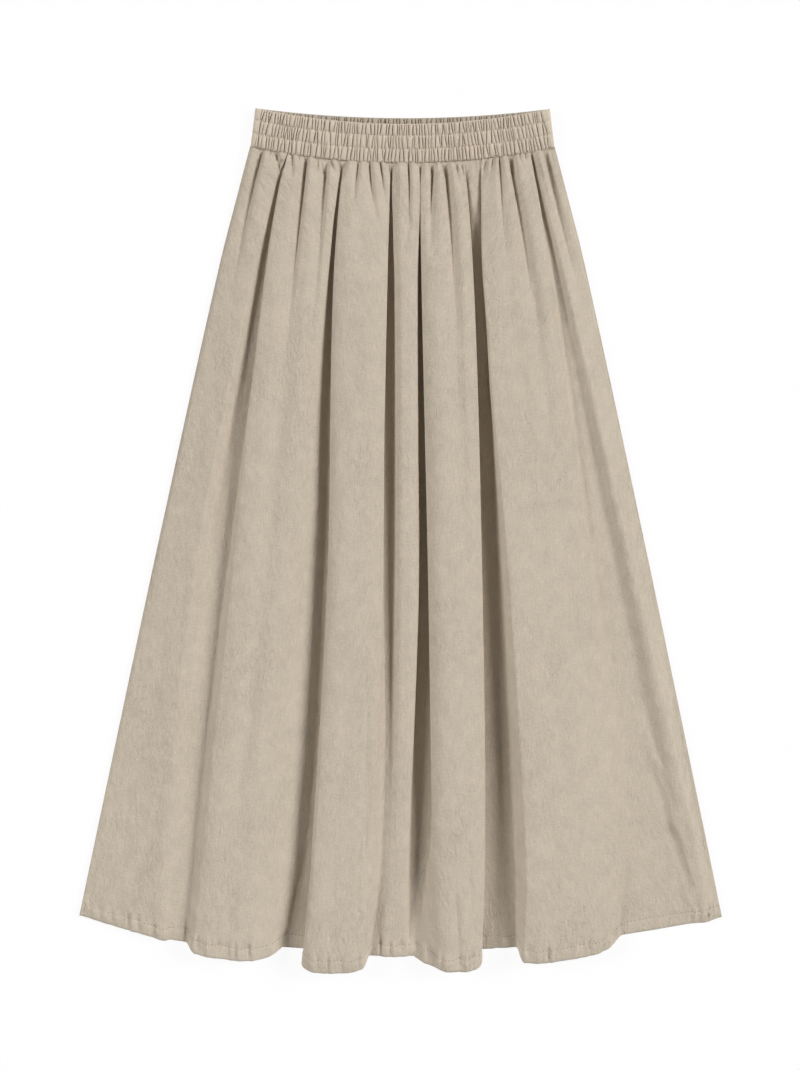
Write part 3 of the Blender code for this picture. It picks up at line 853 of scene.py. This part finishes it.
def waistband(name, bottom, rise, seed, material):
    """One half of the waistband: three puffed channels of elastic between stitched rows, each drawn
    into fine uneven ribs, with a short plain stretch at both ends. bottom is how high it lies and rise
    how far its middle stands up behind its ends."""
    rows, columns = BAND_GRID
    s = np.linspace(0, 1, rows + 1)[:, None]
    to_row = np.min([np.abs(s - row) for row in STITCHED_ROWS], axis=0)
    pinched = np.exp(-((to_row / PINCH_REACH) ** 2))
    end = band_end(s) - PINCH_INSET * pinched
    share = end * np.linspace(-1, 1, columns + 1)[None, :]
    radius = WAIST_RADIUS + BAND_HEIGHT * s - rise * (1 - share * share)
    half_width = HALF_ANGLE * radius
    ribbed = np.clip((end - np.abs(share)) * BAND_HALF / RIB_END_FADE, 0, 1)

    height = np.zeros_like(share)
    for strip in BAND_STRIPS:
        inside = (s >= strip.top) & (s <= strip.low)
        across = np.clip((s - strip.top) / (strip.low - strip.top), 0, 1)
        puff = np.sin(math.pi * across) ** PUFF_POWER
        ribs = np.zeros_like(share)
        for place, drift, depth, width in rib_creases(seed + strip.ribs):
            off = np.abs(share - place - drift * (across - 0.5)) * half_width / (width * MM)
            ribs += depth * MM * np.exp(-(off ** RIB_POWER))
        kept = RIB_AT_ROWS + (1 - RIB_AT_ROWS) * puff
        height += inside * (strip.puff * puff - np.minimum(ribs, RIB_DEEPEST) * ribbed * kept)

    to_edge = np.minimum(s, 1 - s) * BAND_HEIGHT
    to_end = (end - np.abs(share)) * half_width
    rolled = np.sqrt(1 - (1 - np.clip(to_edge / EDGE_ROUND, 0, 1)) ** 2)
    rolled = np.where(s < 0.5, rolled, BAND_LOW_EDGE + (1 - BAND_LOW_EDGE) * rolled)
    rolled = rolled * np.sqrt(1 - (1 - np.clip(to_end / END_ROUND, 0, 1)) ** 2)
    top = BAND_EDGE + (BAND_BODY + height - PINCH_DEPTH * pinched - BAND_EDGE) * rolled
    under = np.clip(BAND_PUFF - height, 0, UNDER_DEEPEST) * UNDER_RELIEF * rolled
    x, y = on_fan(radius, share * half_width)
    upper = np.stack([x, y, bottom + top], axis=-1)
    lower = np.stack([x, y, bottom + under], axis=-1)
    uv = np.stack([share * BAND_CLOTH / 2, -np.broadcast_to(s, share.shape) * BAND_HEIGHT], axis=-1)
    return wall_mesh(name, upper, lower, material, uv, under_step=2)


def linen(name, colour, relief=1.0):
    """Plain washed linen: a fine weave, slubs both ways, faint mottling, pale specks and crinkles."""
    material = bpy.data.materials.new(name)
    material.use_nodes = True
    nodes, links = material.node_tree.nodes, material.node_tree.links
    shader = nodes["Principled BSDF"]
    shader.inputs["Roughness"].default_value = 0.88
    shader.inputs["Specular IOR Level"].default_value = 0.2
    shader.inputs["Sheen Weight"].default_value = 0.08
    uv = nodes.new("ShaderNodeUVMap")
    uv.uv_map = CLOTH_MAP

    def noise(grain):
        stretch = nodes.new("ShaderNodeMapping")
        stretch.inputs["Scale"].default_value = (1 / (grain.across * MM), 1 / (grain.down * MM), 1)
        links.new(uv.outputs["UV"], stretch.inputs["Vector"])
        texture = nodes.new("ShaderNodeTexNoise")
        texture.inputs["Scale"].default_value = 1.0
        texture.inputs["Detail"].default_value = grain.detail
        texture.inputs["Roughness"].default_value = grain.roughness
        links.new(stretch.outputs["Vector"], texture.inputs["Vector"])
        return texture.outputs["Fac"]

    def mapped(value, span, result):
        node = nodes.new("ShaderNodeMapRange")
        node.inputs["From Min"].default_value, node.inputs["From Max"].default_value = span
        node.inputs["To Min"].default_value, node.inputs["To Max"].default_value = result
        links.new(value, node.inputs["Value"])
        return node.outputs["Result"]

    def values(grains):
        return [mapped(noise(grain), grain.span, grain.result) for grain in grains]

    def combined(operation, sockets):
        total = sockets[0]
        for value in sockets[1:]:
            node = nodes.new("ShaderNodeMath")
            node.operation = operation
            links.new(total, node.inputs[0])
            links.new(value, node.inputs[1])
            total = node.outputs["Value"]
        return total

    tint = nodes.new("ShaderNodeVectorMath")
    tint.operation = "SCALE"
    tint.inputs["Vector"].default_value = colour
    links.new(combined("MULTIPLY", values(TONES)), tint.inputs["Scale"])
    links.new(tint.outputs["Vector"], shader.inputs["Base Color"])

    lines = combined("MULTIPLY", values(CREASED_LINES))
    bump = nodes.new("ShaderNodeBump")
    bump.inputs["Distance"].default_value = RELIEF_HEIGHT * relief
    bump.inputs["Strength"].default_value = 1.0
    links.new(combined("ADD", values(RELIEF) + [lines]), bump.inputs["Height"])
    links.new(bump.outputs["Normal"], shader.inputs["Normal"])
    return material


def studio():
    """A pale floor, two soft lamps as on a copy stand, a weak fill and a camera straight above."""
    bpy.ops.mesh.primitive_plane_add(size=FLOOR_SIZE, location=(0, 0, -FLOOR_DROP))
    floor = bpy.context.object
    floor.name = "floor"
    paint = bpy.data.materials.new("pale floor")
    paint.use_nodes = True
    shader = paint.node_tree.nodes["Principled BSDF"]
    shader.inputs["Base Color"].default_value = (FLOOR_GREY, FLOOR_GREY, FLOOR_GREY, 1)
    shader.inputs["Roughness"].default_value = 1.0
    shader.inputs["Emission Color"].default_value = (1, 1, 1, 1)
    shader.inputs["Emission Strength"].default_value = FLOOR_GLOW
    floor.data.materials.append(paint)
    for name, energy, lean in LAMPS:
        sun = bpy.data.lights.new(name, "SUN")
        sun.energy = energy
        sun.angle = math.radians(LAMP_SOFTNESS)
        lamp = bpy.data.objects.new(name, sun)
        lamp.rotation_euler = (math.radians(LAMP_TILT), math.radians(lean), 0)
        bpy.context.scene.collection.objects.link(lamp)
    world = bpy.data.worlds.new("fill")
    world.use_nodes = True
    world.node_tree.nodes["Background"].inputs["Color"].default_value = FILL_COLOUR
    world.node_tree.nodes["Background"].inputs["Strength"].default_value = FILL_STRENGTH
    bpy.context.scene.world = world
    bpy.context.scene.view_settings.view_transform = "Standard"
    lens = bpy.data.cameras.new("camera")
    lens.sensor_fit = "VERTICAL"
    lens.sensor_height = SENSOR_HEIGHT
    lens.lens = SENSOR_HEIGHT * CAMERA_HEIGHT / VIEW_HEIGHT
    lens.clip_end = CAMERA_REACH
    camera = bpy.data.objects.new("camera", lens)
    camera.location = (0, CAMERA_PLACE, CAMERA_HEIGHT)
    bpy.context.scene.collection.objects.link(camera)
    bpy.context.scene.camera = camera


cloth = linen("linen cloth", LINEN)
band = linen("ruched linen", RUCHED, BAND_RELIEF)
# The back band's inside takes a darker copy of the band's linen: painted shade.
band_inside_painted_shade = linen("painted shade inside the band", INSIDE_PAINTED_SHADE, BAND_RELIEF)
# The hem stitches' thread is dark partly as painted shade of the stitched groove.
thread = linen("thread", THREAD_WITH_PAINTED_SHADE, THREAD_RELIEF)

front, hem_stitches = front_panel(cloth, thread)
back = back_panel(cloth)
band_front = waistband("waistband_front_cloth", bottom=FRONT_BAND_HEIGHT, rise=0.0, seed=20, material=band)
band_back = waistband("waistband_back_cloth", bottom=0.0, rise=BACK_RISE, seed=40, material=band)
# The back half's upward faces take that darker linen as painted shade.
band_back.data.materials.append(band_inside_painted_shade)
for face in band_back.data.polygons:
    face.material_index = int(face.normal.z > FACING_UP)
seam_left = side_seam("side_seam_left", -1, cloth)
seam_right = side_seam("side_seam_right", 1, cloth)
for piece, node, slot in (
    (front, "front_panel", "linen_cloth"),
    (back, "back_panel", "linen_cloth"),
    (band_front, "waistband_front", "waistband_cloth"),
    (band_back, "waistband_back", "waistband_cloth"),
):
    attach(piece, "root")
    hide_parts(node)
sewing = [hem_stitches, seam_left, seam_right]
for piece in sewing:
    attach(piece, "root")
studio()
